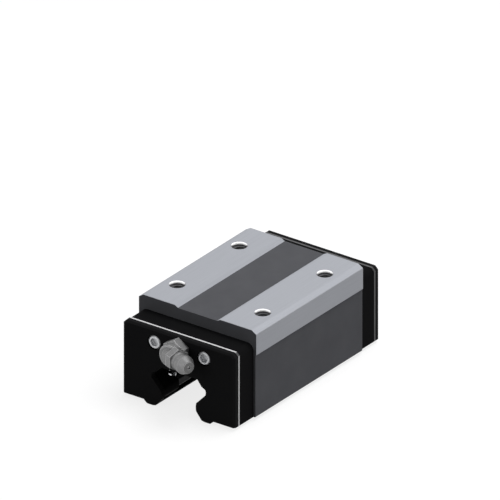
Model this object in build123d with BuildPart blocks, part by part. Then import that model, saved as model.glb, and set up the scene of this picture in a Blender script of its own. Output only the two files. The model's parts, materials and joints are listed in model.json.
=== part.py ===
from build123d import *
import os
import math

os.makedirs("parts", exist_ok=True)

# Linear guide block with a channel for a 23 mm wide profile. Millimetres, +Z up, X across, Y along travel.
# The origin is the centre of the four mounting holes on the ground top face.
# Section heights are counted from the leg bottoms, which lie at Z = foot.

block_width = 48.0
block_height = 32.0
block_length = 60.2
cap_thickness = 7.8
seal_plate_thickness = 0.7
end_seal_thickness = 2.2
hole_pitch_across = 35.0
hole_pitch_along = 35.0
ball_diameter = 4.762

# Clearances
ball_clearance = 0.12
seat_gap = 0.05
shank_clearance = 0.05
hole_clearance = 0.3
ball_seat_gap = 0.03
spring_bore_clearance = 0.1
bead_relief = 0.2
cap_rail_clearance = 0.5
plate_rail_clearance = 0.7

# Steel section
groove_half_width = 8.0
groove_depth = 0.7
groove_slope = 1.3
top_chamfer_across = 1.9
top_chamfer_down = 1.16
strip_height = 7.7
side_recess = 0.3
foot_chamfer = 0.2

# Ball rows
load_row_x = 11.4
upper_row_height = 13.3
lower_row_height = 5.7
return_distance = 6.9
balls_per_straight = 13
race_overlap_angle = 10.0
guide_wall = 0.8

# Channel left open by the rubber lips, the tightest section of the block
crown_half_width = 7.6
crown_height = 13.83
shoulder_x = 9.36
shoulder_height = 11.57
flank_x = 11.12
flank_top_x = 10.83
flank_top_height = 10.83
flank_foot_x = 10.87
flank_foot_height = 8.72
waist_x = 7.02
waist_edge_x = 7.19
waist_top_height = 4.83
waist_foot_height = 1.78
base_x = 9.36
base_height = -0.91
lip_edge_x = 10.5

# End pieces
cap_inset = 1.1
cap_height = 27.1
cap_corner = 2.5
plate_corner = 1.1
seal_corner = 1.2
seal_bevel = 0.65
lip_drop = 1.2
lip_outer_x = 12.9
lip_root_x = 14.3
lip_root_step = 0.35
bead_inset = 0.9
bead_width = 0.9
bead_height = 1.0
bead_root = 0.2

# Ball retainers
retainer_rise = 0.3
retainer_side_room = 0.1
retainer_edge_inset = 0.5
upper_lip_drop = 0.2
upper_lip_reach = 0.25
side_retainer_inset = 0.2
lower_retainer_room = 0.75
lower_retainer_foot = 1.6
lower_retainer_bevel_down = 0.7
lower_retainer_bevel_across = 0.8
lower_retainer_top_drop = 0.2
lower_lip_drop = 0.1
lower_lip_reach = 0.2
lower_lip_land = 0.6
lower_lip_shoulder = 1.0

# Fastening and grease port
mount_hole_radius = 2.5
mount_hole_depth = 9.0
mount_rim_radius = 2.85
drill_point = 1.5
drill_tip_radius = 0.05
screw_x = 10.1
screw_height = 22.15
screw_radius = 1.5
screw_length = 14.0
screw_head_radius = 2.5
screw_head_height = 2.1
screw_bevel = 0.5
screw_socket = 2.8
screw_socket_depth = 1.2
plug_bevel = 0.5
plug_socket = 3.36
plug_socket_depth = 2.4
port_height = 22.2
port_radius = 3.0
port_depth = 5.0
duct_width = 1.6
duct_depth = 0.8

# Grease nipple
nipple_angle = 67.5
nipple_hex = 8.5
nipple_hex_length = 3.0
nipple_elbow_reach = 4.0
nipple_elbow_radius = 3.1
nipple_shoulder_radius = 4.1
nipple_shoulder_length = 5.6
nipple_shoulder_bevel = 0.4
nipple_hex_crown = 4.15
nipple_hex_crown_length = 2.5
nipple_collar_flats = 6.9
nipple_collar_start = 1.9
nipple_collar_end = 4.6
nipple_collar_land = 0.5
nipple_neck_radius = 2.9
nipple_neck_length = 6.8
nipple_neck_cone = 0.6
nipple_head_radius = 3.25
nipple_tip_radius = 2.3
nipple_tip_length = 2.3
nipple_tip_bevel = 0.3
nipple_arm_length = 11.0
nipple_bore_radius = 1.3
nipple_mouth_radius = 0.6
nipple_bore_step = 0.2
nipple_bore_overrun = 0.5
check_ball_radius = 0.95
check_ball_inset = 0.15
spring_wire_radius = 0.16
spring_turns = 6
spring_contact_share = 0.62

# Derived values
foot = -block_height
half_width = block_width / 2
half_length = block_length / 2
cap_half_width = half_width - cap_inset
plate_start = half_length + cap_thickness
seal_start = plate_start + seal_plate_thickness
front_reach = seal_start + end_seal_thickness
ball_radius = ball_diameter / 2
race_radius = ball_radius + ball_clearance
turn_radius = return_distance / 2
turn_x = load_row_x + turn_radius
return_x = load_row_x + return_distance
race_near = race_radius * math.sin(math.radians(race_overlap_angle))
race_far = race_radius * math.cos(math.radians(race_overlap_angle))
race_mid = race_radius * math.sqrt(0.5)
ceiling_height = upper_row_height + race_far
wall_x = load_row_x + race_far
lower_lip_x = load_row_x - race_near
guide_foot = lower_row_height - race_radius - guide_wall
guide_head = upper_row_height + race_radius + guide_wall
guide_height = guide_head - guide_foot


def station(y):
    """Section plane at position y, with the origin at leg height."""
    return Plane(origin=(0, y, foot), x_dir=(1, 0, 0), z_dir=(0, -1, 0))


def rail_opening(gap):
    """Sketch of the channel that the lips leave, widened by a gap and open below the legs."""
    with BuildSketch() as outline:
        with BuildLine():
            Polyline(
                (0, crown_height),
                (crown_half_width, crown_height),
                (shoulder_x, shoulder_height),
                (flank_top_x, flank_top_height),
            )
            ThreePointArc(
                (flank_top_x, flank_top_height),
                (flank_x, (flank_top_height + flank_foot_height) / 2),
                (flank_foot_x, flank_foot_height),
            )
            Line((flank_foot_x, flank_foot_height), (waist_edge_x, waist_top_height))
            ThreePointArc(
                (waist_edge_x, waist_top_height),
                (waist_x, (waist_top_height + waist_foot_height) / 2),
                (waist_edge_x, waist_foot_height),
            )
            Polyline(
                (waist_edge_x, waist_foot_height),
                (base_x, base_height),
                (lip_edge_x, -lip_drop),
                (lip_edge_x, -4 * lip_drop),
                (0, -4 * lip_drop),
            )
            mirror(about=Plane.YZ)
        make_face()
        if gap > 0:
            offset(amount=gap, kind=Kind.INTERSECTION)
    return outline.sketch


def row_points(x, y):
    """The four places of a pair of ball rows, left and right, at one station."""
    heights = (lower_row_height, upper_row_height)
    return [(side * x, y, foot + h) for side in (-1, 1) for h in heights]


def screw_points():
    return [(side * screw_x, screw_height) for side in (-1, 1)]


# Steel carriage block
with BuildPart() as carriage_block:
    with BuildSketch(station(half_length)):
        with BuildLine():
            Line((0, ceiling_height), (load_row_x - race_near, ceiling_height))
            ThreePointArc(
                (load_row_x - race_near, ceiling_height),
                (load_row_x + race_mid, upper_row_height + race_mid),
                (wall_x, upper_row_height - race_near),
            )
            Line((wall_x, upper_row_height - race_near), (wall_x, lower_row_height + race_near))
            ThreePointArc(
                (wall_x, lower_row_height + race_near),
                (load_row_x + race_mid, lower_row_height - race_mid),
                (lower_lip_x, lower_row_height - race_far),
            )
            Polyline(
                (lower_lip_x, lower_row_height - race_far),
                (lower_lip_x, 0),
                (half_width - side_recess - foot_chamfer, 0),
                (half_width - side_recess, foot_chamfer),
                (half_width - side_recess, block_height - top_chamfer_down - strip_height),
                (half_width, block_height - top_chamfer_down - strip_height),
                (half_width, block_height - top_chamfer_down),
                (half_width - top_chamfer_across, block_height),
                (groove_half_width + groove_slope, block_height),
                (groove_half_width, block_height - groove_depth),
                (0, block_height - groove_depth),
            )
            mirror(about=Plane.YZ)
        make_face()
    extrude(amount=block_length)
    with GridLocations(hole_pitch_across, hole_pitch_along, 2, 2):
        CounterSinkHole(
            radius=mount_hole_radius,
            counter_sink_radius=mount_rim_radius,
            depth=mount_hole_depth,
            counter_sink_angle=90,
        )
    # drill points below the tapped holes
    with GridLocations(hole_pitch_across, hole_pitch_along, 2, 2):
        with Locations((0, 0, -mount_hole_depth - drill_point / 2)):
            Cone(
                bottom_radius=drill_tip_radius,
                top_radius=mount_hole_radius,
                height=drill_point,
                mode=Mode.SUBTRACT,
            )
    with Locations(*row_points(return_x, 0)):
        Cylinder(race_radius, block_length, rotation=(90, 0, 0), mode=Mode.SUBTRACT)
    for end in (-1, 1):
        with BuildSketch(station(end * half_length)):
            with Locations(*screw_points()):
                Circle(screw_radius + shank_clearance)
        extrude(amount=end * (screw_length - cap_thickness), mode=Mode.SUBTRACT)
    # bottom seal grooves
    for side in (-1, 1):
        with BuildSketch(station(half_length)):
            with Locations((side * (lip_outer_x - bead_inset), 0)):
                Rectangle(bead_width + 2 * seat_gap, 2 * (bead_height + bead_relief))
        extrude(amount=block_length, mode=Mode.SUBTRACT)
carriage_block.part.label = "carriage_block"
export_step(carriage_block.part, "parts/carriage_block.step")

# Front end cap, with the outer half of each ball turnaround and the grease ducts
with BuildPart() as front_end_cap:
    with BuildSketch(station(-half_length)) as cap_face:
        with Locations((0, cap_height / 2)):
            Rectangle(2 * cap_half_width, cap_height)
        fillet(cap_face.vertices().group_by(Axis.Y)[-1], cap_corner)
        add(rail_opening(cap_rail_clearance), mode=Mode.SUBTRACT)
    extrude(amount=cap_thickness)
    with Locations(*row_points(turn_x, -half_length)):
        Torus(turn_radius, race_radius, mode=Mode.SUBTRACT)
    for side in (-1, 1):
        with Locations((side * turn_x, -half_length, foot + guide_foot + guide_height / 2)):
            Cylinder(turn_radius, guide_height, mode=Mode.SUBTRACT)
    duct_level = (port_height + guide_head) / 2
    with BuildSketch(station(-half_length)):
        with Locations((0, (port_height + duct_level) / 2)):
            Rectangle(duct_width, port_height - duct_level + duct_width)
        with Locations((0, duct_level)):
            Rectangle(2 * turn_x, duct_width)
        with Locations((-turn_x, (duct_level + guide_head) / 2), (turn_x, (duct_level + guide_head) / 2)):
            Rectangle(duct_width, duct_level - guide_head + 2 * duct_width)
    extrude(amount=duct_depth, mode=Mode.SUBTRACT)
    with BuildSketch(station(-half_length)):
        with Locations(*screw_points()):
            Circle(screw_radius + shank_clearance)
        with Locations((0, port_height)):
            Circle(port_radius)
    extrude(amount=cap_thickness, mode=Mode.SUBTRACT)
front_end_cap.part.label = "front_end_cap"
export_step(front_end_cap.part, "parts/front_end_cap.step")

with BuildPart() as rear_end_cap:
    mirror(front_end_cap.part, about=Plane.XZ)
rear_end_cap.part.label = "rear_end_cap"
export_step(rear_end_cap.part, "parts/rear_end_cap.step")

# Return guides, the inner half of the turnarounds, one for each pair of circuits
with BuildPart() as front_right_return_guide:
    with Locations((turn_x, -half_length, foot + guide_foot + guide_height / 2)):
        Cylinder(turn_radius - seat_gap, guide_height - 2 * seat_gap)
    for row_height in (lower_row_height, upper_row_height):
        with Locations((turn_x, -half_length, foot + row_height)):
            Torus(turn_radius, race_radius, mode=Mode.SUBTRACT)
    split(bisect_by=Plane.XZ.offset(half_length + seat_gap), keep=Keep.TOP)
front_right_return_guide.part.label = "front_right_return_guide"
export_step(front_right_return_guide.part, "parts/front_right_return_guide.step")

with BuildPart() as front_left_return_guide:
    mirror(front_right_return_guide.part, about=Plane.YZ)
front_left_return_guide.part.label = "front_left_return_guide"
export_step(front_left_return_guide.part, "parts/front_left_return_guide.step")

with BuildPart() as rear_right_return_guide:
    mirror(front_right_return_guide.part, about=Plane.XZ)
rear_right_return_guide.part.label = "rear_right_return_guide"
export_step(rear_right_return_guide.part, "parts/rear_right_return_guide.step")

with BuildPart() as rear_left_return_guide:
    mirror(front_left_return_guide.part, about=Plane.XZ)
rear_left_return_guide.part.label = "rear_left_return_guide"
export_step(rear_left_return_guide.part, "parts/rear_left_return_guide.step")

# Ball retainers, which keep the loaded rows in place when the channel is empty
retainer_length = block_length - 2 * seat_gap
retainer_start = half_length - seat_gap
row_middle = (upper_row_height + lower_row_height) / 2
plate_underside = crown_height + retainer_rise
top_lip_height = upper_row_height - upper_lip_drop

with BuildPart() as top_ball_retainer:
    with BuildSketch(station(retainer_start)):
        with BuildLine():
            Polyline(
                (0, plate_underside),
                (crown_half_width + retainer_side_room, plate_underside),
                (load_row_x - race_radius - upper_lip_reach, top_lip_height),
                (load_row_x - retainer_edge_inset, top_lip_height),
                (load_row_x - retainer_edge_inset, ceiling_height - seat_gap),
                (0, ceiling_height - seat_gap),
            )
            mirror(about=Plane.YZ)
        make_face()
        with Locations((-load_row_x, upper_row_height), (load_row_x, upper_row_height)):
            Circle(race_radius, mode=Mode.SUBTRACT)
    extrude(amount=retainer_length)
top_ball_retainer.part.label = "top_ball_retainer"
export_step(top_ball_retainer.part, "parts/top_ball_retainer.step")

side_retainer_face = load_row_x + side_retainer_inset

with BuildPart() as right_side_retainer:
    with BuildSketch(station(retainer_start)):
        with Locations(((side_retainer_face + wall_x - seat_gap) / 2, row_middle)):
            Rectangle(wall_x - seat_gap - side_retainer_face, upper_row_height - lower_row_height)
        with Locations((load_row_x, upper_row_height), (load_row_x, lower_row_height)):
            Circle(race_radius, mode=Mode.SUBTRACT)
    extrude(amount=retainer_length)
right_side_retainer.part.label = "right_side_retainer"
export_step(right_side_retainer.part, "parts/right_side_retainer.step")

with BuildPart() as left_side_retainer:
    mirror(right_side_retainer.part, about=Plane.YZ)
left_side_retainer.part.label = "left_side_retainer"
export_step(left_side_retainer.part, "parts/left_side_retainer.step")

lower_retainer_face = waist_edge_x + lower_retainer_room

with BuildPart() as right_lower_retainer:
    with BuildSketch(station(retainer_start)):
        with BuildLine():
            Polyline(
                (lower_retainer_face, waist_foot_height + lower_retainer_bevel_down),
                (lower_retainer_face, waist_top_height - lower_retainer_top_drop),
                (load_row_x - race_radius - lower_lip_reach, lower_row_height - lower_lip_drop),
                (load_row_x - race_radius + lower_lip_land, lower_row_height - lower_lip_drop),
                (lower_lip_x - seat_gap, lower_row_height - lower_lip_shoulder),
                (lower_lip_x - seat_gap, lower_retainer_foot),
                (lower_retainer_face + lower_retainer_bevel_across, lower_retainer_foot),
                close=True,
            )
        make_face()
        with Locations((load_row_x, lower_row_height)):
            Circle(race_radius, mode=Mode.SUBTRACT)
    extrude(amount=retainer_length)
right_lower_retainer.part.label = "right_lower_retainer"
export_step(right_lower_retainer.part, "parts/right_lower_retainer.step")

with BuildPart() as left_lower_retainer:
    mirror(right_lower_retainer.part, about=Plane.YZ)
left_lower_retainer.part.label = "left_lower_retainer"
export_step(left_lower_retainer.part, "parts/left_lower_retainer.step")

# Seal plates, thin metal between cap and rubber
with BuildPart() as front_seal_plate:
    with BuildSketch(station(-plate_start)) as plate_face:
        with Locations((0, cap_height / 2)):
            Rectangle(2 * cap_half_width, cap_height)
        chamfer(plate_face.vertices().group_by(Axis.Y)[-1], plate_corner)
        add(rail_opening(plate_rail_clearance), mode=Mode.SUBTRACT)
        with Locations(*screw_points()):
            Circle(screw_radius + shank_clearance, mode=Mode.SUBTRACT)
        with Locations((0, port_height)):
            Circle(port_radius + hole_clearance, mode=Mode.SUBTRACT)
    extrude(amount=seal_plate_thickness)
front_seal_plate.part.label = "front_seal_plate"
export_step(front_seal_plate.part, "parts/front_seal_plate.step")

with BuildPart() as rear_seal_plate:
    mirror(front_seal_plate.part, about=Plane.XZ)
rear_seal_plate.part.label = "rear_seal_plate"
export_step(rear_seal_plate.part, "parts/rear_seal_plate.step")

# End seals, rubber with lips round the channel
with BuildPart() as front_end_seal:
    with BuildSketch(station(-seal_start)) as seal_face:
        with Locations((0, cap_height / 2)):
            Rectangle(2 * cap_half_width, cap_height)
        chamfer(seal_face.vertices().group_by(Axis.Y)[-1], seal_corner)
    extrude(amount=end_seal_thickness)
    front_edges = front_end_seal.faces().sort_by(Axis.Y)[0].edges()
    chamfer(front_edges.sort_by(Axis.Z)[1:], seal_bevel)
    with BuildSketch(station(-seal_start)):
        Polygon(
            (-lip_root_x, 0),
            (-lip_outer_x, -lip_drop),
            (lip_outer_x, -lip_drop),
            (lip_root_x, 0),
            align=None,
        )
    extrude(amount=end_seal_thickness)
    with BuildSketch(station(-seal_start)):
        add(rail_opening(0))
        with Locations(*screw_points()):
            Circle(screw_head_radius + hole_clearance)
        with Locations((0, port_height)):
            Circle(port_radius + hole_clearance)
    extrude(amount=end_seal_thickness, mode=Mode.SUBTRACT)
front_end_seal.part.label = "front_end_seal"
export_step(front_end_seal.part, "parts/front_end_seal.step")

with BuildPart() as rear_end_seal:
    mirror(front_end_seal.part, about=Plane.XZ)
rear_end_seal.part.label = "rear_end_seal"
export_step(rear_end_seal.part, "parts/rear_end_seal.step")

# Bottom seals, which hang below the legs between the end seals
bottom_seal_length = 2 * seal_start - 2 * seat_gap

with BuildPart() as right_bottom_seal:
    with BuildSketch(station(seal_start - seat_gap)):
        with BuildLine():
            Polyline(
                (base_x - lip_root_step, -seat_gap),
                (base_x, base_height),
                (lip_edge_x, -lip_drop),
                (lip_outer_x, -lip_drop),
                (lip_root_x, -seat_gap),
                close=True,
            )
        make_face()
    extrude(amount=bottom_seal_length)
    with BuildSketch(station(retainer_start)):
        with Locations((lip_outer_x - bead_inset, (bead_height - bead_root) / 2)):
            Rectangle(bead_width, bead_height + bead_root)
    extrude(amount=retainer_length)
right_bottom_seal.part.label = "right_bottom_seal"
export_step(right_bottom_seal.part, "parts/right_bottom_seal.step")

with BuildPart() as left_bottom_seal:
    mirror(right_bottom_seal.part, about=Plane.YZ)
left_bottom_seal.part.label = "left_bottom_seal"
export_step(left_bottom_seal.part, "parts/left_bottom_seal.step")


def circuit_points(side, row_height):
    """Ball centres of one closed circuit: two straight rows and one ball at the middle of each turn."""
    points = []
    pitch = block_length / (balls_per_straight - 1)
    for lane_x in (load_row_x, return_x):
        for n in range(balls_per_straight):
            points.append((side * lane_x, n * pitch - half_length, foot + row_height))
    for end in (-1, 1):
        points.append((side * turn_x, end * (half_length + turn_radius), foot + row_height))
    return points


with BuildPart() as upper_left_balls:
    with Locations(*circuit_points(-1, upper_row_height)):
        Sphere(ball_radius)
upper_left_balls.part.label = "upper_left_balls"
export_step(upper_left_balls.part, "parts/upper_left_balls.step")

with BuildPart() as upper_right_balls:
    with Locations(*circuit_points(1, upper_row_height)):
        Sphere(ball_radius)
upper_right_balls.part.label = "upper_right_balls"
export_step(upper_right_balls.part, "parts/upper_right_balls.step")

with BuildPart() as lower_left_balls:
    with Locations(*circuit_points(-1, lower_row_height)):
        Sphere(ball_radius)
lower_left_balls.part.label = "lower_left_balls"
export_step(lower_left_balls.part, "parts/lower_left_balls.step")

with BuildPart() as lower_right_balls:
    with Locations(*circuit_points(1, lower_row_height)):
        Sphere(ball_radius)
lower_right_balls.part.label = "lower_right_balls"
export_step(lower_right_balls.part, "parts/lower_right_balls.step")

# Socket screws that clamp seal plate and cap to the steel, two at each end
with BuildPart() as front_cap_screws:
    with BuildSketch(station(-seal_start)):
        with Locations(*screw_points()):
            Circle(screw_head_radius)
    extrude(amount=screw_head_height)
    chamfer(front_cap_screws.edges().group_by(Axis.Y)[0], screw_bevel)
    with BuildSketch(station(-seal_start)):
        with Locations(*screw_points()):
            Circle(screw_radius)
    extrude(amount=-screw_length)
    with BuildSketch(station(-seal_start - screw_head_height)):
        with Locations(*screw_points()):
            RegularPolygon(screw_socket / 2, 6, major_radius=False)
    extrude(amount=-screw_socket_depth, mode=Mode.SUBTRACT)
front_cap_screws.part.label = "front_cap_screws"
export_step(front_cap_screws.part, "parts/front_cap_screws.step")

with BuildPart() as rear_cap_screws:
    mirror(front_cap_screws.part, about=Plane.XZ)
rear_cap_screws.part.label = "rear_cap_screws"
export_step(rear_cap_screws.part, "parts/rear_cap_screws.step")

# Set screw in the unused grease port of the rear cap
with BuildPart() as rear_port_plug:
    with BuildSketch(station(plate_start)):
        with Locations((0, port_height)):
            Circle(port_radius - seat_gap)
    extrude(amount=port_depth)
    chamfer(rear_port_plug.edges().group_by(Axis.Y)[0], plug_bevel)
    with BuildSketch(station(plate_start)):
        with Locations((0, port_height)):
            RegularPolygon(plug_socket / 2, 6, major_radius=False)
    extrude(amount=plug_socket_depth, mode=Mode.SUBTRACT)
rear_port_plug.part.label = "rear_port_plug"
export_step(rear_port_plug.part, "parts/rear_port_plug.step")

# Grease nipple: threaded root, hexagon, elbow and a ball head turned to one side
nipple_turn = math.radians(nipple_angle)
elbow_y = -front_reach - nipple_elbow_reach
elbow_z = foot + port_height
arm_dir = (math.sin(nipple_turn), -math.cos(nipple_turn), 0)
arm_plane = Plane(origin=(0, elbow_y, elbow_z), x_dir=(-arm_dir[1], arm_dir[0], 0), z_dir=arm_dir)
arm_axis = Axis((0, elbow_y, elbow_z), arm_dir)
# half section plane of the arm: local x is the radius, local y runs along the arm
arm_section = Plane(origin=(0, elbow_y, elbow_z), x_dir=(0, 0, 1), z_dir=(-arm_dir[1], arm_dir[0], 0))
if arm_section.y_dir.dot(Vector(*arm_dir)) < 0:
    arm_section = Plane(origin=(0, elbow_y, elbow_z), x_dir=(0, 0, 1), z_dir=(arm_dir[1], -arm_dir[0], 0))
seat_height = math.sqrt(check_ball_radius**2 - nipple_mouth_radius**2)
ball_station = nipple_arm_length - check_ball_inset - check_ball_radius
spring_seat = nipple_elbow_reach - nipple_bore_step

with BuildPart() as grease_nipple:
    with BuildSketch(station(-front_reach)):
        with Locations((0, port_height)):
            RegularPolygon(nipple_hex / 2, 6, major_radius=False, rotation=30)
    extrude(amount=nipple_hex_length)
    # corners of the hexagon turned off towards its crown
    with BuildSketch(Plane.YZ):
        Polygon(
            (-front_reach, elbow_z),
            (-front_reach, elbow_z + nipple_hex),
            (-front_reach - nipple_hex_length + nipple_hex_crown_length, elbow_z + nipple_hex),
            (-front_reach - nipple_hex_length, elbow_z + nipple_hex_crown),
            (-front_reach - nipple_hex_length, elbow_z),
            align=None,
        )
    revolve(axis=Axis((0, 0, elbow_z), (0, 1, 0)), mode=Mode.INTERSECT)
    with BuildSketch(station(-half_length - cap_thickness + port_depth)):
        with Locations((0, port_height)):
            Circle(port_radius - seat_gap)
    extrude(amount=port_depth + seal_plate_thickness + end_seal_thickness)
    with BuildSketch(station(-front_reach)):
        with Locations((0, port_height)):
            Circle(nipple_shoulder_radius)
    extrude(amount=nipple_shoulder_length)
    chamfer(grease_nipple.faces().sort_by(Axis.Y)[0].edges(), nipple_shoulder_bevel)
    with Locations((0, elbow_y, elbow_z)):
        Sphere(nipple_elbow_radius)
    with BuildSketch(arm_plane.offset(nipple_collar_start)):
        RegularPolygon(nipple_collar_flats / 2, 6, major_radius=False, rotation=30)
    extrude(amount=nipple_collar_end - nipple_collar_start)
    with BuildSketch(arm_section):
        Polygon(
            (0, 0),
            (nipple_elbow_radius, 0),
            (nipple_elbow_radius, nipple_collar_end + nipple_collar_land),
            (nipple_neck_radius, nipple_collar_end + 2 * nipple_collar_land),
            (nipple_neck_radius, nipple_neck_length),
            (nipple_head_radius, nipple_neck_length + nipple_neck_cone),
            (nipple_head_radius, nipple_arm_length - nipple_tip_length),
            (nipple_tip_radius, nipple_arm_length - nipple_tip_bevel),
            (nipple_tip_radius - nipple_tip_bevel, nipple_arm_length),
            (0, nipple_arm_length),
            align=None,
        )
    revolve(axis=arm_axis)
    # grease passage with the valve seat at the mouth
    with BuildSketch(arm_section):
        Polygon(
            (0, -nipple_bore_overrun),
            (nipple_mouth_radius, -nipple_bore_overrun),
            (nipple_mouth_radius, spring_seat),
            (nipple_bore_radius, spring_seat),
            (nipple_bore_radius, ball_station),
            (nipple_mouth_radius, ball_station + seat_height + seat_gap),
            (nipple_mouth_radius, nipple_arm_length),
            (0, nipple_arm_length),
            align=None,
        )
    revolve(axis=arm_axis, mode=Mode.SUBTRACT)
    with BuildSketch(station(-half_length - cap_thickness + port_depth)):
        with Locations((0, port_height)):
            Circle(nipple_mouth_radius)
    extrude(
        amount=port_depth + front_reach - plate_start + nipple_elbow_reach + nipple_bore_overrun,
        mode=Mode.SUBTRACT,
    )
grease_nipple.part.label = "grease_nipple"
export_step(grease_nipple.part, "parts/grease_nipple.step")

ball_centre = tuple(
    origin + (ball_station - ball_seat_gap) * step
    for origin, step in zip((0, elbow_y, elbow_z), arm_dir)
)
with BuildPart() as nipple_check_ball:
    with Locations(ball_centre):
        Sphere(check_ball_radius)
nipple_check_ball.part.label = "nipple_check_ball"
export_step(nipple_check_ball.part, "parts/nipple_check_ball.step")

# Valve spring between the ball and the step of the bore
spring_coil_radius = nipple_bore_radius - spring_wire_radius - spring_bore_clearance
spring_end = ball_station - ball_seat_gap - check_ball_radius * spring_contact_share
spring_reach = spring_end - spring_seat - 2 * spring_wire_radius
spring_start = spring_seat + spring_wire_radius + ball_seat_gap
spring_origin = tuple(
    origin + spring_start * step
    for origin, step in zip((0, elbow_y, elbow_z), arm_dir)
)
with BuildPart() as nipple_spring:
    with BuildLine() as coil:
        Helix(
            pitch=spring_reach / spring_turns,
            height=spring_reach,
            radius=spring_coil_radius,
            center=spring_origin,
            direction=arm_dir,
        )
    with BuildSketch(Plane(origin=coil.line @ 0, z_dir=coil.line % 0)):
        Circle(spring_wire_radius)
    sweep(path=coil.line, is_frenet=True)
nipple_spring.part.label = "nipple_spring"
export_step(nipple_spring.part, "parts/nipple_spring.step")
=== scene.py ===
# %% [markdown]
# # Linear guide block, seen from above its front right corner
# The object is the carriage of a linear guide: a hardened steel body with ground faces, and at each
# end a black plastic cap, a thin metal plate and a rubber seal. An angled grease nipple stands in
# front. The solids come from the imported model, so this lesson adds what they lack: finishes,
# threads, a spring, light and a camera.

# %% Load the solids
import bpy
import bmesh
import json
import math
from mathutils import Vector, Matrix


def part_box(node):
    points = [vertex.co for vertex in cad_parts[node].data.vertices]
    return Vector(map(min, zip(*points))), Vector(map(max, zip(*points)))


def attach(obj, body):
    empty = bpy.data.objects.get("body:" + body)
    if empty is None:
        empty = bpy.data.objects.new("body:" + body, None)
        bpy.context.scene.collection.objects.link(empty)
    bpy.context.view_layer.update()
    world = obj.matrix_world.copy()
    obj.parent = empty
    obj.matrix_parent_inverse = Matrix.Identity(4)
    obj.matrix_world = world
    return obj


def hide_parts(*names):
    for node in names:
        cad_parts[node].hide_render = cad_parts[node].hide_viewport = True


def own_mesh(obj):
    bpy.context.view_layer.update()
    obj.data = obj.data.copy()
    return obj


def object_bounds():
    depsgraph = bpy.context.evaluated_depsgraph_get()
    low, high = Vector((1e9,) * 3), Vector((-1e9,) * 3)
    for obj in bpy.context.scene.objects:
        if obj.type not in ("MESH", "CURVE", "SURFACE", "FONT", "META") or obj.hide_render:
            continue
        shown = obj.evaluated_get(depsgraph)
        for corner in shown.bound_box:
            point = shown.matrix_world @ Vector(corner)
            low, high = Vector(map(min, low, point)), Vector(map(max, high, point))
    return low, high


with open("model.json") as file:
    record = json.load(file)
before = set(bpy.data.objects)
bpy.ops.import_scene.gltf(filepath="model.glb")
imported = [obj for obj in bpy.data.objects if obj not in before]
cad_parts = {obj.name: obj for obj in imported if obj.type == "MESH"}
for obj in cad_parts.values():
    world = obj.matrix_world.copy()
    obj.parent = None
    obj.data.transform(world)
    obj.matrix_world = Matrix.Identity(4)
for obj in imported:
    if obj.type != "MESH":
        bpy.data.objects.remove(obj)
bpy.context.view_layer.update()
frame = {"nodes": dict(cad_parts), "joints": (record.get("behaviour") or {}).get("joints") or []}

nodes = frame["nodes"]
print(len(nodes), "solids:", sorted(nodes))

# %% [markdown]
# ## Measures
# A finish that depends on place needs a few sizes. They could all be typed in, but those read from
# the solids' own boxes stay right when the model changes. The mounting face is at height zero, and
# the carriage travels along Y.

# %% Measures
mm = 0.001
block_lo, block_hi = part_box("carriage_block")
floor_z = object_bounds()[0].z
print("block", block_lo[:], block_hi[:], "lowest point", floor_z)

# %% [markdown]
# ## Helpers for node trees
# A finish is a tree of small steps. Each could be made and wired by hand, but a helper that adds a
# node and fills or links its inputs keeps a finish readable. The other helpers name the steps that
# come up again and again. Numbers stand for inputs that share one name, as the Mix node's do.

# %% Add and wire a node
def add_node(tree, kind, values=None, **settings):
    node = tree.nodes.new(kind)
    for key, value in settings.items():
        setattr(node, key, value)
    for key, value in (values or {}).items():
        socket = node.inputs[key]
        if isinstance(value, bpy.types.NodeSocket):
            tree.links.new(value, socket)
        else:
            socket.default_value = value
    return node


print("one helper makes and wires any node")


# %% Steps that come up often
def math_node(tree, operation, a, b=0.0, c=0.0):
    return add_node(tree, "ShaderNodeMath", {0: a, 1: b, 2: c}, operation=operation).outputs[0]


def mix_color(tree, factor, a, b):
    return add_node(tree, "ShaderNodeMix", {0: factor, 6: a, 7: b}, data_type="RGBA").outputs[2]


def mix_normal(tree, factor, a, b):
    return add_node(tree, "ShaderNodeMix", {0: factor, 4: a, 5: b}, data_type="VECTOR").outputs[1]


def map_range(tree, value, start, end, low, high):
    values = {0: value, 1: start, 2: end, 3: low, 4: high}
    return add_node(tree, "ShaderNodeMapRange", values).outputs[0]


def bump(tree, strength, distance, height, normal):
    values = {"Strength": strength, "Distance": distance, "Height": height, "Normal": normal}
    return add_node(tree, "ShaderNodeBump", values).outputs[0]


print("math, mix, range and bump helpers ready")

# %% [markdown]
# Effects that several finishes share are node groups. A group is built once, with named inputs and
# outputs, and each material places it with its own values.

# %% Make and place a node group
FLOAT = "NodeSocketFloat"
VECTOR = "NodeSocketVector"


def new_group(name, inputs, outputs):
    tree = bpy.data.node_groups.new(name, "ShaderNodeTree")
    for label, kind, default in inputs:
        socket = tree.interface.new_socket(label, in_out="INPUT", socket_type=kind)
        if default is not None:
            socket.default_value = default
    for label, kind in outputs:
        tree.interface.new_socket(label, in_out="OUTPUT", socket_type=kind)
    return tree, tree.nodes.new("NodeGroupInput"), tree.nodes.new("NodeGroupOutput")


def use_group(tree, group, values):
    return add_node(tree, "ShaderNodeGroup", values, node_tree=group)


print("group helpers ready")

# %% [markdown]
# ## Ground lines
# A grinding wheel leaves fine lines along its travel. They could be painted, but stretched noise
# gives them anywhere: the coordinate across the lines is scaled up, and the one along them down.

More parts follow.
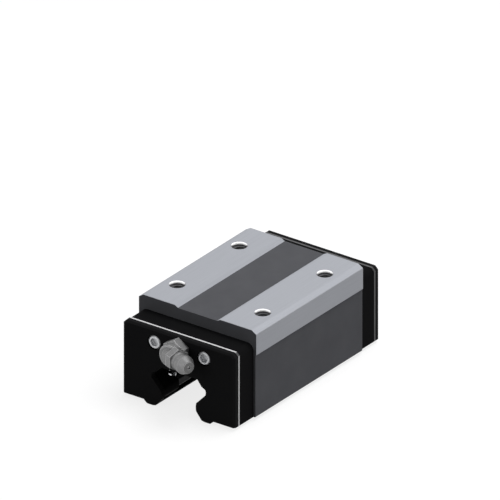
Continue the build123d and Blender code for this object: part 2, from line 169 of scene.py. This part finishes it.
# %% Ground lines
line_scale = (9000.0, 60.0, 9000.0)
lines_group, g_in, g_out = new_group(
    "ground_lines",
    [("Coordinate", VECTOR, None), ("Scale", VECTOR, line_scale)],
    [("Value", FLOAT)],
)
stretched = add_node(
    lines_group,
    "ShaderNodeVectorMath",
    {0: g_in.outputs["Coordinate"], 1: g_in.outputs["Scale"]},
    operation="MULTIPLY",
)
noise_values = {"Vector": stretched.outputs[0], "Scale": 1.0, "Detail": 3.0}
noise = add_node(lines_group, "ShaderNodeTexNoise", noise_values)
lines_group.links.new(noise.outputs["Fac"], g_out.inputs["Value"])
print(lines_group.name, "stretches noise by", line_scale)

# %% [markdown]
# ## Mould grain
# Moulded plastic and rubber take over the spark eroded grain of their mould: small rounded bumps,
# with a little slow unevenness. One noise can't hold both scales, so the group gives two.

# %% Mould grain
slow_scale = 120.0
grain_group, g_in, g_out = new_group(
    "mould_grain",
    [("Coordinate", VECTOR, None), ("Scale", FLOAT, 4500.0)],
    [("Fine", FLOAT), ("Slow", FLOAT)],
)
place = g_in.outputs["Coordinate"]
fine_values = {"Vector": place, "Scale": g_in.outputs["Scale"], "Detail": 2.0}
slow_values = {"Vector": place, "Scale": slow_scale, "Detail": 4.0}
fine = add_node(grain_group, "ShaderNodeTexNoise", fine_values)
slow = add_node(grain_group, "ShaderNodeTexNoise", slow_values)
grain_group.links.new(fine.outputs["Fac"], g_out.inputs["Fine"])
grain_group.links.new(slow.outputs["Fac"], g_out.inputs["Slow"])
print(grain_group.name, "has a slow scale of", slow_scale)

# %% [markdown]
# ## Edge mask
# Real edges are broken by a small radius that catches the light. Bevelling every solid would change
# its mesh, so a shader does it: the Bevel node's normal differs from the true one only near an edge,
# and how far the two differ is a mask of the edges.

# %% Edge mask
edge_gain = 6.0
edge_group, g_in, g_out = new_group(
    "edge_mask",
    [("Width", FLOAT, 0.3 * mm)],
    [("Mask", FLOAT), ("Normal", VECTOR)],
)
bevel = add_node(edge_group, "ShaderNodeBevel", {"Radius": g_in.outputs["Width"]}, samples=6)
surface = add_node(edge_group, "ShaderNodeNewGeometry")
alike = add_node(
    edge_group,
    "ShaderNodeVectorMath",
    {0: bevel.outputs[0], 1: surface.outputs["Normal"]},
    operation="DOT_PRODUCT",
)
lack = math_node(edge_group, "SUBTRACT", 1.0, alike.outputs["Value"])
gained = {0: lack, 1: edge_gain}
mask = add_node(edge_group, "ShaderNodeMath", gained, operation="MULTIPLY", use_clamp=True)
edge_group.links.new(mask.outputs[0], g_out.inputs["Mask"])
edge_group.links.new(bevel.outputs[0], g_out.inputs["Normal"])
print(edge_group.name, "gains by", edge_gain)

# %% [markdown]
# ## Corner mask
# Inner corners and the sockets of screws are darkened with painted shade. Such places could be picked
# by hand, but ambient occlusion with a short reach finds them by itself. The group turns it into a
# mask: one in a corner, zero in the open.

# %% Corner mask
corner_group, g_in, g_out = new_group(
    "corner_mask",
    [("Reach", FLOAT, 1.0 * mm), ("Gain", FLOAT, 1.0)],
    [("Mask", FLOAT)],
)
reached = {"Distance": g_in.outputs["Reach"]}
shade = add_node(corner_group, "ShaderNodeAmbientOcclusion", reached, samples=8)
hidden = math_node(corner_group, "SUBTRACT", 1.0, shade.outputs["AO"])
gained = {0: hidden, 1: g_in.outputs["Gain"]}
mask = add_node(corner_group, "ShaderNodeMath", gained, operation="MULTIPLY", use_clamp=True)
corner_group.links.new(mask.outputs[0], g_out.inputs["Mask"])
print(corner_group.name, "ready")

# %% [markdown]
# ## Steel body: where it is ground
# The body is hardened steel. The two mounting pads on top and the reference strip on each side are
# ground bright, and the groove, the lower sides and the end faces keep their dark hardened skin.
# Faces could be given materials one by one, but that depends on the mesh, so one material tells the
# places apart by their object coordinates.

# %% Start a material, dress the solids
def principled(name):
    material = bpy.data.materials.new(name)
    material.use_nodes = True
    tree = material.node_tree
    coords = tree.nodes.new("ShaderNodeTexCoord")
    return material, tree, tree.nodes["Principled BSDF"], coords.outputs["Object"]


def dress(names, material):
    for name in names:
        mesh = nodes[name].data
        mesh.materials.clear()
        mesh.materials.append(material)
    print(material.name, names)


print("material helpers ready")

# %% Masks of the ground faces
groove_edge = 8.0 * mm
slope_edge = 9.3 * mm
pad_floor = -1.2 * mm
end_limit = block_hi.y - 0.05 * mm
strip_limit = block_hi.x - 0.15 * mm
steel, tree, shader, coords = principled("hardened_steel")
split = add_node(tree, "ShaderNodeSeparateXYZ", {0: coords})
across = math_node(tree, "ABSOLUTE", split.outputs[0])
along = math_node(tree, "ABSOLUTE", split.outputs[1])
level = split.outputs[2]
beyond_groove = math_node(tree, "GREATER_THAN", across, groove_edge)
pad = math_node(tree, "MULTIPLY", beyond_groove, math_node(tree, "GREATER_THAN", level, pad_floor))
slope = math_node(tree, "MULTIPLY", pad, math_node(tree, "LESS_THAN", across, slope_edge))
strip = math_node(tree, "GREATER_THAN", across, strip_limit)
inside_ends = math_node(tree, "LESS_THAN", along, end_limit)
print("pads from", groove_edge, "strips from", round(strip_limit, 6), "ends at", round(end_limit, 6))

# %% [markdown]
# The four mounting holes interrupt the grinding. The distance from a hole's axis masks its bore, and
# in it the turned rim just below the face, which gets a painted highlight on the side that looks at
# the camera. A Layer Weight picks out that side.

# %% Masks of the mounting holes
hole_x = 17.5 * mm
hole_y = 17.5 * mm
hole_reach = 2.9 * mm
rim_top = -0.02 * mm
rim_foot = -0.75 * mm
facing_full = 0.35
facing_none = 0.7
to_axis = {
    0: math_node(tree, "SUBTRACT", across, hole_x),
    1: math_node(tree, "SUBTRACT", along, hole_y),
}
from_axis = add_node(tree, "ShaderNodeCombineXYZ", to_axis).outputs[0]
distance = add_node(tree, "ShaderNodeVectorMath", {0: from_axis}, operation="LENGTH").outputs["Value"]
near_axis = math_node(tree, "LESS_THAN", distance, hole_reach)
in_hole = math_node(tree, "MULTIPLY", near_axis, math_node(tree, "LESS_THAN", level, rim_top))
out_of_hole = math_node(tree, "SUBTRACT", 1.0, in_hole)
facing = add_node(tree, "ShaderNodeLayerWeight", {"Blend": 0.5}).outputs["Facing"]
looks_back = map_range(tree, facing, facing_full, facing_none, 1.0, 0.0)
rim = math_node(tree, "MULTIPLY", in_hole, math_node(tree, "GREATER_THAN", level, rim_foot))
rim = math_node(tree, "MULTIPLY", rim, looks_back)
print("rims from", rim_top, "to", rim_foot)

# %% [markdown]
# With the holes taken out, the masks are complete: all ground faces for the colour, and the flat
# tops alone for the light that falls on them.

# %% Ground faces without the holes
ground = math_node(tree, "MULTIPLY", math_node(tree, "MAXIMUM", pad, strip), inside_ends)
ground = math_node(tree, "MULTIPLY", ground, out_of_hole)
flat_top = math_node(tree, "MULTIPLY", math_node(tree, "MULTIPLY", pad, inside_ends), out_of_hole)
lines = use_group(tree, lines_group, {"Coordinate": coords})
skin = use_group(tree, grain_group, {"Coordinate": coords, "Scale": 2500.0})
edge = use_group(tree, edge_group, {"Width": 0.25 * mm})
print("masks and groups placed in", steel.name)

# %% [markdown]
# ## Steel body: colour and shine
# Ground steel is a light, slightly blue grey with fine lines. On the strips it is a little darker than
# on the pads, as painted shade of the side faces. The skin is a dark grey that drifts slowly, the
# freshly cut bores are lighter than it, and broken edges are a trace lighter too, as painted highlight
# and wear. A pure metal would mirror the whole room, but the real faces look even, so the metallic
# share is small.

# %% Colours of the steel
pad_tones = ((0.36, 0.372, 0.405, 1), (0.47, 0.485, 0.525, 1))
# The strips' tones are darker than the pads' as painted shade of the side faces.
strip_shaded_tones = ((0.315, 0.324, 0.352, 1), (0.409, 0.42, 0.454, 1))
skin_tones = ((0.088, 0.089, 0.097, 1), (0.113, 0.115, 0.125, 1))
bore_tone = (0.14, 0.14, 0.148, 1)
# Near white: the painted highlight on the rims of the holes.
rim_highlight_tone = (0.98, 0.98, 0.99, 1)
edge_tone = (0.5, 0.51, 0.54, 1)
edge_wear_and_highlight = 0.15
pad_color = mix_color(tree, lines.outputs[0], *pad_tones)
strip_color = mix_color(tree, lines.outputs[0], *strip_shaded_tones)
ground_color = mix_color(tree, strip, pad_color, strip_color)
skin_color = mix_color(tree, skin.outputs["Slow"], *skin_tones)
color = mix_color(tree, ground, skin_color, ground_color)
color = mix_color(tree, in_hole, color, bore_tone)
color = mix_color(tree, rim, color, rim_highlight_tone)
# Edges are lightened, as painted highlight and as wear.
edge_share = math_node(tree, "MULTIPLY", edge.outputs["Mask"], edge_wear_and_highlight)
color = mix_color(tree, edge_share, color, edge_tone)
tree.links.new(color, shader.inputs["Base Color"])
print("colours of", steel.name, "wired")

# %% [markdown]
# The turned rim of a hole mirrors the bright room. A diffuse face down in a hole can't get as white
# as that, so a little emission of its own stands for the reflection.

# %% Shine of the steel
rim_glow = (0.3, 0.3, 0.3, 1)
metallic_share = 0.3
smoothest = 0.38
roughest = 0.52
shader.inputs["Specular IOR Level"].default_value = 0.01
shader.inputs["Emission Strength"].default_value = 1.0
tree.links.new(mix_color(tree, rim, (0, 0, 0, 1), rim_glow), shader.inputs["Emission Color"])
tree.links.new(math_node(tree, "MULTIPLY", ground, metallic_share), shader.inputs["Metallic"])
roughness = map_range(tree, lines.outputs[0], 0.0, 1.0, smoothest, roughest)
tree.links.new(roughness, shader.inputs["Roughness"])
print("metallic", metallic_share, "rim glow", rim_glow[0])

# %% [markdown]
# ## Steel body: normals
# In the photograph the pads are lit evenly up to their edges. A light that does this would flatten
# everything else, so the pads' shading normal is turned most of the way to straight up instead, and
# so is the rim's. The bores keep their true normal, and all other edges their softened one.

# %% Normals of the steel
flat_share = 0.65
slope_extra = 0.25
rim_share = 0.8
true_normal = add_node(tree, "ShaderNodeNewGeometry").outputs["Normal"]
soft_normal = mix_normal(tree, in_hole, edge.outputs["Normal"], true_normal)
flatten = math_node(tree, "MULTIPLY_ADD", slope, slope_extra, flat_share)
upward = math_node(
    tree,
    "MAXIMUM",
    math_node(tree, "MULTIPLY", flat_top, flatten),
    math_node(tree, "MULTIPLY", rim, rim_share),
)
turned = mix_normal(tree, upward, soft_normal, (0, 0, 1))
steel_normal = add_node(tree, "ShaderNodeVectorMath", {0: turned}, operation="NORMALIZE").outputs[0]
print("pads turned up by", flat_share)

# %% Fine relief of the steel
relief_strength = 0.12
relief_depth = 0.03 * mm
line_height = math_node(tree, "MULTIPLY", lines.outputs[0], ground)
not_ground = math_node(tree, "SUBTRACT", 1.0, ground)
skin_height = math_node(tree, "MULTIPLY", skin.outputs["Fine"], not_ground)
relief = math_node(tree, "ADD", line_height, skin_height)
bumped = bump(tree, relief_strength, relief_depth, relief, steel_normal)
tree.links.new(bumped, shader.inputs["Normal"])
dress(["carriage_block"], steel)

# %% [markdown]
# ## Black plastic and rubber
# The caps and ball guides are moulded from glass filled plastic, matt with a fine grain, and the
# seals are nitrile rubber. All are close to black and differ in grain, roughness and gloss only, so
# one recipe makes them, with those values as inputs.

# %% Recipe for moulded pieces
def times(color, factor):
    return tuple(min(1.0, factor * c) for c in color[:3]) + (1,)


def moulded(name, dark, light, rough, grain_scale, strength, gloss):
    edge_wear_and_highlight = 0.5
    edge_lift = 2.2
    grain_depth = 0.04 * mm
    material, tree, shader, coords = principled(name)
    grain = use_group(tree, grain_group, {"Coordinate": coords, "Scale": grain_scale})
    edge = use_group(tree, edge_group, {"Width": 0.3 * mm})
    drift = grain.outputs["Slow"]
    color = mix_color(tree, drift, dark, light)
    # Edges are lightened, as painted highlight and as wear.
    edge_share = math_node(tree, "MULTIPLY", edge.outputs["Mask"], edge_wear_and_highlight)
    color = mix_color(tree, edge_share, color, times(light, edge_lift))
    relief = bump(tree, strength, grain_depth, grain.outputs["Fine"], edge.outputs["Normal"])
    tree.links.new(color, shader.inputs["Base Color"])
    tree.links.new(map_range(tree, drift, 0.2, 0.8, *rough), shader.inputs["Roughness"])
    tree.links.new(relief, shader.inputs["Normal"])
    shader.inputs["Specular IOR Level"].default_value = gloss
    return material


print("moulded recipe ready")

# %% Caps, seals and ball guides
cap_dark = (0.006, 0.006, 0.0064, 1)
cap_light = (0.0085, 0.0085, 0.009, 1)
plastic = moulded("cap_plastic", cap_dark, cap_light,
                  rough=(0.5, 0.6), grain_scale=4500.0, strength=0.25, gloss=0.006)
dress(["front_end_cap", "rear_end_cap"], plastic)

rubber_dark = (0.01, 0.01, 0.0105, 1)
rubber_light = (0.014, 0.014, 0.0145, 1)
rubber = moulded("seal_rubber", rubber_dark, rubber_light,
                 rough=(0.55, 0.7), grain_scale=6000.0, strength=0.2, gloss=0.01)
dress(["front_end_seal", "rear_end_seal", "left_bottom_seal", "right_bottom_seal"], rubber)

guide_dark = (0.022, 0.022, 0.024, 1)
guide_light = (0.034, 0.034, 0.037, 1)
inner = moulded("guide_plastic", guide_dark, guide_light,
                rough=(0.42, 0.55), grain_scale=4000.0, strength=0.2, gloss=0.1)
dress([n for n in nodes if n.endswith(("return_guide", "retainer"))], inner)

# %% [markdown]
# ## Bright small parts
# The seal plates are thin rolled sheet, the screws are zinc plated, the nipple is plated free
# cutting steel, and the balls are polished bearing steel. They too differ in a few values only:
# colour, shine, how far their edges are lightened as wear and painted highlight, and how far their
# corners are darkened by painted shade.

# %% Recipe for metal pieces
def metal(name, dark, light, rough, scale, strength,
          metallic=0.9, wear_and_highlight=0.0, corner_shade=0.0, edge_width=0.12 * mm):
    rubbed_and_lit_lift = 2.4
    corner_shade_tone = 0.18
    line_depth = 0.02 * mm
    material, tree, shader, coords = principled(name)
    lines = use_group(tree, lines_group, {"Coordinate": coords, "Scale": scale})
    edge = use_group(tree, edge_group, {"Width": edge_width})
    color = mix_color(tree, lines.outputs[0], dark, light)
    # Edges are lightened, as painted highlight and as wear.
    if wear_and_highlight:
        rubbed_and_lit = math_node(tree, "MULTIPLY", edge.outputs["Mask"], wear_and_highlight)
        color = mix_color(tree, rubbed_and_lit, color, times(light, rubbed_and_lit_lift))
    # Corners are darkened with painted shade.
    if corner_shade:
        corner = use_group(tree, corner_group, {"Reach": 1.5 * mm, "Gain": 1.6})
        painted_corner_shade = math_node(tree, "MULTIPLY", corner.outputs["Mask"], corner_shade)
        color = mix_color(tree, painted_corner_shade, color, times(dark, corner_shade_tone))
    relief = bump(tree, strength, line_depth, lines.outputs[0], edge.outputs["Normal"])
    tree.links.new(color, shader.inputs["Base Color"])
    tree.links.new(map_range(tree, lines.outputs[0], 0.2, 0.8, *rough), shader.inputs["Roughness"])
    tree.links.new(relief, shader.inputs["Normal"])
    shader.inputs["Metallic"].default_value = metallic
    return material


print("metal recipe ready")

# %% [markdown]
# ## Seal plates
# Only the cut edge of a plate shows, as a thin line round the end. In the photograph the line is
# bright on top, dimmer down the sides and dark at the corners, and that of the rear plate is dark all
# round, so the rear plate gets a darker copy of the finish. Lights set for so thin a line would change
# the rest too. The direction of a face tells top, side and corner apart, so it picks the tone: the
# dimmer sides and dark corners are painted shade.

# %% Tones of the cut edges
def shade_cut_edges(material, side_tone, corner_tone):
    side_limit = 0.9
    corner_limit = 0.2
    tree = material.node_tree
    base = tree.nodes["Principled BSDF"].inputs["Base Color"]
    face = tree.nodes.new("ShaderNodeNewGeometry").outputs["True Normal"]
    part = add_node(tree, "ShaderNodeSeparateXYZ", {0: face})
    sideways = math_node(tree, "ABSOLUTE", part.outputs[0])
    side = math_node(tree, "GREATER_THAN", sideways, side_limit)
    both = math_node(tree, "MULTIPLY", sideways, part.outputs[2])
    corner = math_node(tree, "GREATER_THAN", both, corner_limit)
    color = mix_color(tree, side, base.links[0].from_socket, side_tone)
    tree.links.new(mix_color(tree, corner, color, corner_tone), base)


print("tones follow the direction of a face")

# %% Front and rear plate
sheet_lines = (4000.0, 4000.0, 90.0)
bright = ((0.66, 0.66, 0.67, 1), (0.8, 0.8, 0.81, 1))
plate = metal("plate_steel", *bright,
              rough=(0.35, 0.5), scale=sheet_lines, strength=0.1, metallic=0.25)
shade_cut_edges(plate, (0.435, 0.435, 0.44, 1), (0.05, 0.05, 0.052, 1))
dress(["front_seal_plate"], plate)

# The rear plate is a darker copy of the front plate's finish.
dull = ((0.06, 0.06, 0.062, 1), (0.1, 0.1, 0.103, 1))
darker_plate = metal("plate_darker", *dull,
              rough=(0.4, 0.55), scale=sheet_lines, strength=0.1, metallic=0.2)
shade_cut_edges(darker_plate, (0.055, 0.055, 0.057, 1), (0.03, 0.03, 0.031, 1))
dress(["rear_seal_plate"], darker_plate)

# %% [markdown]
# ## Screws and nipple
# Zinc plated screw heads are pale, with painted highlights on their rims and painted shade in the
# socket. The nipple is a duller grey with the same painted highlights on its edges and painted shade
# in its corners, and in the photograph its faces are pale towards the front left and darker
# elsewhere, as if it mirrored a room. Walls of cardboard could be modelled for that, but they would
# light the rest too, so the direction of each face sets how light it is, as a painted reflection.

# %% Screws
pale = ((0.4, 0.41, 0.425, 1), (0.62, 0.63, 0.65, 1))
turned_lines = (2500.0, 900.0, 2500.0)
zinc = metal("screw_zinc", *pale, rough=(0.3, 0.45), scale=turned_lines, strength=0.1,
             metallic=0.7, wear_and_highlight=0.8, corner_shade=0.25, edge_width=0.3 * mm)
dress(["front_cap_screws", "rear_cap_screws", "rear_port_plug"], zinc)


# %% Nipple
def mirror_room(material, pale_side, pale_tone, dim_tone):
    turned_away = -0.5
    turned_to = 0.95
    tree = material.node_tree
    base = tree.nodes["Principled BSDF"].inputs["Base Color"]
    face = tree.nodes.new("ShaderNodeNewGeometry").outputs["Normal"]
    towards = {0: face, 1: pale_side}
    share = add_node(tree, "ShaderNodeVectorMath", towards, operation="DOT_PRODUCT").outputs["Value"]
    tone = map_range(tree, share, turned_away, turned_to, dim_tone, pale_tone)
    parts = {0: base.links[0].from_socket, 1: tone}
    shaded = add_node(tree, "ShaderNodeVectorMath", parts, operation="MULTIPLY")
    tree.links.new(shaded.outputs[0], base)


grey = ((0.12, 0.12, 0.122, 1), (0.25, 0.25, 0.252, 1))
plated_lines = (1800.0, 1800.0, 1800.0)
front_left = (-0.383, -0.924, 0.0)
nickel = metal("nipple_plate", *grey, rough=(0.42, 0.6), scale=plated_lines, strength=0.12,
               metallic=0.35, wear_and_highlight=1.0, corner_shade=0.9, edge_width=0.4 * mm)
mirror_room(nickel, front_left, pale_tone=1.7, dim_tone=0.3)
dress(["grease_nipple"], nickel)

# %% [markdown]
# ## Balls
# Bearing balls are lapped to a mirror, so they get the lowest roughness of all. The small check ball
# in the mouth of the nipple is darker and duller.

# %% Balls
even_lines = (900.0, 900.0, 900.0)
mirror = ((0.62, 0.63, 0.65, 1), (0.72, 0.73, 0.75, 1))
polished = metal("ball_steel", *mirror,
                 rough=(0.08, 0.14), scale=even_lines, strength=0.02, metallic=1.0)
dress([n for n in nodes if n.endswith("balls")], polished)

dimmer_steel = ((0.24, 0.24, 0.245, 1), (0.32, 0.32, 0.325, 1))
check = metal("check_ball_steel", *dimmer_steel,
              rough=(0.35, 0.45), scale=even_lines, strength=0.05, metallic=0.6)
dress(["nipple_check_ball"], check)

# %% [markdown]
# ## Threads in the mounting holes
# The four holes are tapped for M6. A tap leaves a helical ridge with a pitch of one millimetre. A
# Screw modifier could make it, but spin does it in one call: a small triangle goes round the axis of
# the hole while it sinks by one pitch a turn. The foot of the ridge is buried a little in the bore,
# whose solid stays plain, so that its fit stays exact.

# %% A thread by spin
def piece_from(bm, name, material):
    bmesh.ops.recalc_face_normals(bm, faces=bm.faces)
    mesh = bpy.data.meshes.new(name)
    bm.to_mesh(mesh)
    bm.free()
    mesh.materials.append(material)
    piece = bpy.data.objects.new(name, mesh)
    bpy.context.scene.collection.objects.link(piece)
    print(name, len(mesh.polygons), "faces")
    return piece


def spin_thread(x, y, radius, ridge, pitch, depth):
    bury = 0.05 * mm
    start = -1.0 * mm
    ridge_foot = 0.8 * pitch
    turns = int(depth / pitch)
    steps = 28
    bm = bmesh.new()
    profile = [
        bm.verts.new((x + radius + bury, y, start)),
        bm.verts.new((x + radius - ridge, y, start - ridge_foot / 2)),
        bm.verts.new((x + radius + bury, y, start - ridge_foot)),
    ]
    edges = [bm.edges.new((profile[i], profile[(i + 1) % 3])) for i in range(3)]
    bmesh.ops.spin(
        bm,
        geom=profile + edges,
        cent=(x, y, 0),
        axis=(0, 0, 1),
        dvec=(0, 0, -pitch / steps),
        angle=2 * math.pi * turns,
        steps=steps * turns,
    )
    bmesh.ops.holes_fill(bm, edges=[e for e in bm.edges if e.is_boundary], sides=3)
    return bm


# %% Four threads
bore_radius = 2.5 * mm
thread_ridge = 0.25 * mm
thread_pitch = 1.0 * mm
thread_depth = 7.0 * mm
shadowed = ((0.08, 0.08, 0.084, 1), (0.13, 0.13, 0.137, 1))
cut_lines = (900.0, 900.0, 9000.0)
thread_steel = metal("thread_steel", *shadowed,
                     rough=(0.3, 0.45), scale=cut_lines, strength=0.1, metallic=0.5)
for side, x in (("left", -hole_x), ("right", hole_x)):
    for end, y in (("front", -hole_y), ("rear", hole_y)):
        bm = spin_thread(x, y, bore_radius, thread_ridge, thread_pitch, thread_depth)
        piece = piece_from(bm, "hole_thread_" + side + "_" + end, thread_steel)
        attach(piece, "carriage")

# %% [markdown]
# ## Valve spring
# Inside the nipple a small coil spring holds the check ball against its seat. When grease is pressed
# in, the ball sinks and the spring gets shorter, which a rigid solid can't show. A ring of the wire's
# section, spun round the coil's axis while it climbs, makes the turns. It starts along Z, where that
# is simple, and a transform lays it into the arm of the nipple.

# %% Where the spring lies
valve = next(j for j in frame["joints"] if j["name"] == "nipple_valve")
arm = -Vector(valve["axis"])
reach = [v.co.dot(arm) for v in nodes["nipple_spring"].data.vertices]
spring_length = max(reach) - min(reach)
ball_lo, ball_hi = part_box("nipple_check_ball")
ball_centre = (ball_lo + ball_hi) / 2
spring_foot = ball_centre + arm * (min(reach) - ball_centre.dot(arm))

# %% Coil by spin
wire_radius = 0.16 * mm
wire_sides = 10
coil_radius = 1.04 * mm
coil_turns = 6
turn_steps = 24
climb = (spring_length - 2 * wire_radius) / (turn_steps * coil_turns)
bm = bmesh.new()
ring = bmesh.ops.create_circle(bm, segments=wire_sides, radius=wire_radius)["verts"]
bmesh.ops.rotate(bm, verts=ring, matrix=Matrix.Rotation(math.radians(90), 3, "X"))
bmesh.ops.translate(bm, verts=ring, vec=(coil_radius, 0, wire_radius))
bmesh.ops.spin(
    bm,
    geom=ring + bm.edges[:],
    cent=(0, 0, 0),
    axis=(0, 0, 1),
    dvec=(0, 0, climb),
    angle=2 * math.pi * coil_turns,
    steps=turn_steps * coil_turns,
)
bmesh.ops.holes_fill(bm, edges=[e for e in bm.edges if e.is_boundary], sides=wire_sides)
along_arm = arm.to_track_quat("Z", "Y").to_matrix().to_4x4()
bmesh.ops.transform(bm, verts=bm.verts, matrix=Matrix.Translation(spring_foot) @ along_arm)
print("coil of", coil_turns, "turns climbs", round(climb / mm, 4), "mm a step")

# %% [markdown]
# The coil gets its finish and becomes a piece of the carriage with a mesh of its own, and the
# imported spring is hidden.

# %% Finish the spring
wire = ((0.3, 0.3, 0.31, 1), (0.45, 0.45, 0.46, 1))
drawn_lines = (3000.0, 3000.0, 3000.0)
spring_steel = metal("spring_wire", *wire, rough=(0.25, 0.4), scale=drawn_lines, strength=0.08)
spring = piece_from(bm, "valve_spring", spring_steel)
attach(spring, "carriage")
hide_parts("nipple_spring")
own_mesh(spring)

# %% [markdown]
# ## Floor and room
# The block stands on a white sheet that runs out of the picture. The sheet and the room behind look
# white to the camera, but if they shone as brightly on the block, its black ends would turn grey. So
# the Light Path splits the two: full white where they are seen, and far less where they light.

# %% Floor
half_width = 3.0
floor_gap = 0.02 * mm
floor_mesh = bpy.data.meshes.new("floor")
bm = bmesh.new()
bmesh.ops.create_grid(bm, x_segments=1, y_segments=1, size=half_width)
bm.to_mesh(floor_mesh)
bm.free()
floor = bpy.data.objects.new("floor", floor_mesh)
bpy.context.scene.collection.objects.link(floor)
floor.location.z = floor_z - floor_gap
print("floor at", floor.location.z)


# %% White sheet
def seen_directly(tree):
    path = tree.nodes.new("ShaderNodeLightPath")
    seen = math_node(tree, "MAXIMUM", path.outputs["Is Camera Ray"], path.outputs["Is Glossy Ray"])
    return math_node(tree, "MAXIMUM", seen, path.outputs["Is Transmission Ray"])


sheet_glow = 0.8
sheet = bpy.data.materials.new("white_sheet")
sheet.use_nodes = True
tree = sheet.node_tree
shader = tree.nodes["Principled BSDF"]
shader.inputs["Base Color"].default_value = (0.25, 0.25, 0.25, 1)
shader.inputs["Roughness"].default_value = 0.9
shader.inputs["Specular IOR Level"].default_value = 0.04
shader.inputs["Emission Color"].default_value = (1, 1, 1, 1)
glow = math_node(tree, "MULTIPLY", seen_directly(tree), sheet_glow)
tree.links.new(glow, shader.inputs["Emission Strength"])
floor_mesh.materials.append(sheet)
print(sheet.name, "glows", sheet_glow, "where it is seen")

# %% White room
room_light = 0.2
world = bpy.data.worlds.new("studio")
bpy.context.scene.world = world
world.use_nodes = True
tree = world.node_tree
background = tree.nodes["Background"]
background.inputs[0].default_value = (1, 1, 1, 1)
strength = map_range(tree, seen_directly(tree), 0.0, 1.0, room_light, 1.0)
tree.links.new(strength, background.inputs[1])
print(world.name, "lights with", room_light)

# %% [markdown]
# ## Lights
# The pads are the brightest faces, the side strip comes next, and the front is nearly dark. Large
# soft disks above, to the right and, weakly, in front give that order without hard shadows.

# %% Soft lights
def soft_light(name, place, target, size, power):
    light = bpy.data.lights.new(name, "AREA")
    light.shape = "DISK"
    light.size = size
    light.energy = power
    lamp = bpy.data.objects.new(name, light)
    bpy.context.scene.collection.objects.link(lamp)
    lamp.location = place
    lamp.rotation_euler = (Vector(target) - Vector(place)).to_track_quat("-Z", "Y").to_euler()
    print("light", name, power, "W")


centre = (block_lo + block_hi) / 2
soft_light("above", (0.15, 0.25, 0.9), centre, size=0.7, power=7.0)
soft_light("right", (0.9, 0.15, 0.25), centre, size=0.5, power=2.2)
soft_light("front", (-0.2, -0.9, 0.3), centre, size=0.6, power=1.2)

# %% [markdown]
# ## Camera
# Lines that are parallel on the block are parallel in the photograph, so it is a parallel projection
# and the camera is orthographic. Azimuth and elevation give its axes, and the aim is the point of
# the model that falls in the middle of the picture.

# %% Camera
picture_pixels = 500
pixels_per_mm = 3.02
azimuth = math.radians(36)
elevation = math.radians(27)
aim_right = -0.318 * mm
aim_up = 9.616 * mm
right = Vector((math.cos(azimuth), math.sin(azimuth), 0))
back = Vector((math.sin(azimuth), -math.cos(azimuth), 0)) * math.cos(elevation)
back.z = math.sin(elevation)
up = back.cross(right)
aim = aim_right * right + aim_up * up
camera = bpy.data.cameras.new("camera")
camera.type = "ORTHO"
camera.ortho_scale = picture_pixels / pixels_per_mm * mm
turn = Matrix((right, up, back)).transposed().to_4x4()
camera_object = bpy.data.objects.new("camera", camera)
bpy.context.scene.collection.objects.link(camera_object)
camera_object.matrix_world = Matrix.Translation(aim + back) @ turn
bpy.context.scene.camera = camera_object
bpy.context.scene.view_settings.view_transform = "Standard"
print("camera", camera_object.location[:])
